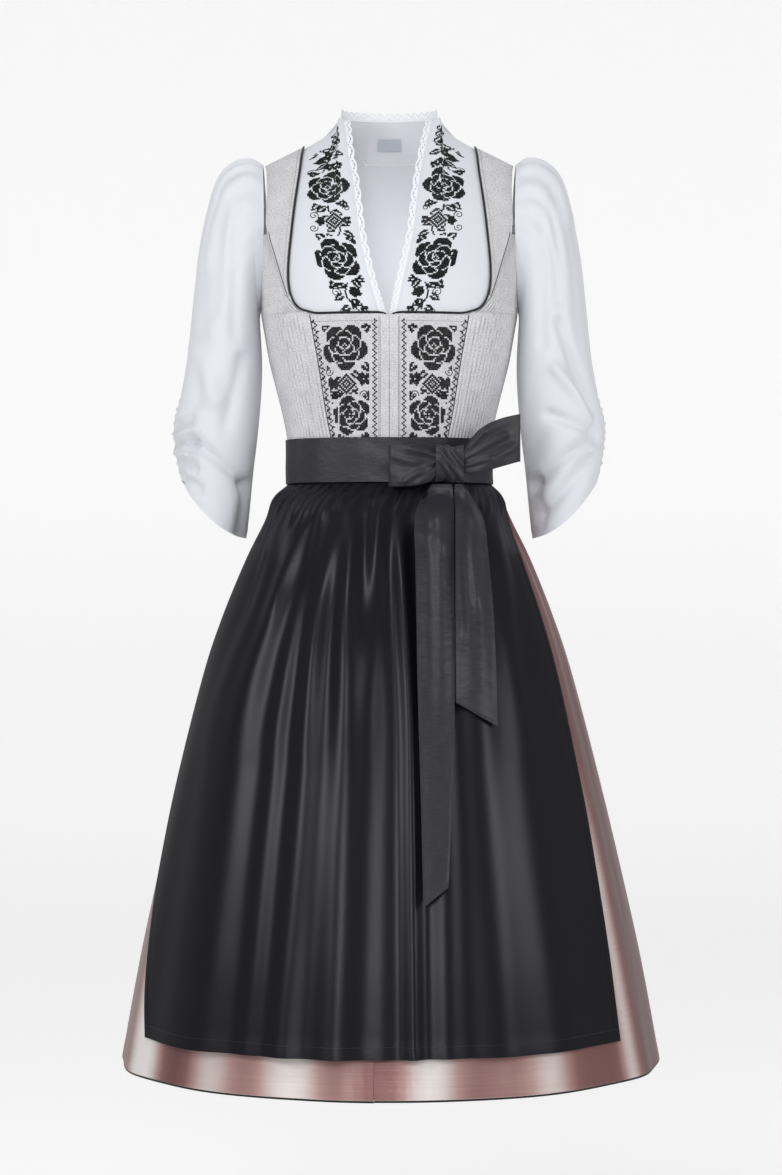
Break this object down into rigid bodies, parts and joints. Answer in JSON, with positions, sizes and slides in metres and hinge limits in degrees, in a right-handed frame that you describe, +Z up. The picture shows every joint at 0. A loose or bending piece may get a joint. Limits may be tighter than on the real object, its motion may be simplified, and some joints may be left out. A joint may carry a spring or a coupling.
{
  "type": "dirndl costume set",
  "caption": "Midi dirndl worn out: square-necked ribbed bodice, puff-sleeved blouse with stand collar, full skirt, gathered apron with band and side bow.",
  "frame": {"origin": "middle between the shoulders, at the height of the shoulder seams, where the wearer or form holds the set", "axes": "+Z up towards the collar, -Y towards the front of the dress, +X towards the side where the bow is tied"},
  "size_m": [0.6677, 0.6921, 1.1814],
  "materials": {
    "bodice_cloth": "warm light grey mottled cotton, matt",
    "piping": "black cord piping",
    "blouse_cotton": "white sateen-faced cotton, soft sheen",
    "lace": "white scalloped lace edging",
    "label_cloth": "blank woven label, pale grey",
    "skirt_cloth": "shot taffeta, dusty rose to silver",
    "apron_satin": "charcoal satin, soft sheen",
    "tie_taffeta": "charcoal taffeta, dull sheen"
  },
  "bodies": {
    "root": {"bodice_centre_front_left": "bodice_cloth", "bodice_side_front_left": "bodice_cloth", "bodice_shoulder_left": "bodice_cloth", "bodice_side_back_left": "bodice_cloth", "neckline_piping_left": "piping", "blouse_front_left": "blouse_cotton", "lace_front_left": "lace", "sleeve_left": "blouse_cotton", "skirt_front_left": "skirt_cloth", "bodice_centre_front_right": "bodice_cloth", "bodice_side_front_right": "bodice_cloth", "bodice_shoulder_right": "bodice_cloth", "bodice_side_back_right": "bodice_cloth", "neckline_piping_right": "piping", "blouse_front_right": "blouse_cotton", "lace_front_right": "lace", "sleeve_right": "blouse_cotton", "skirt_front_right": "skirt_cloth", "bodice_centre_back": "bodice_cloth", "blouse_back": "blouse_cotton", "collar": "blouse_cotton", "lace_back": "lace", "neck_label": "label_cloth", "skirt_back": "skirt_cloth", "skirt_hem_piping": "piping", "apron_panel": "apron_satin", "apron_band": "tie_taffeta", "bow_knot": "tie_taffeta", "bow_loop_left": "tie_taffeta", "bow_loop_right": "tie_taffeta", "bow_tail_long": "tie_taffeta", "bow_tail_short": "tie_taffeta"}
  },
  "joints": []
}
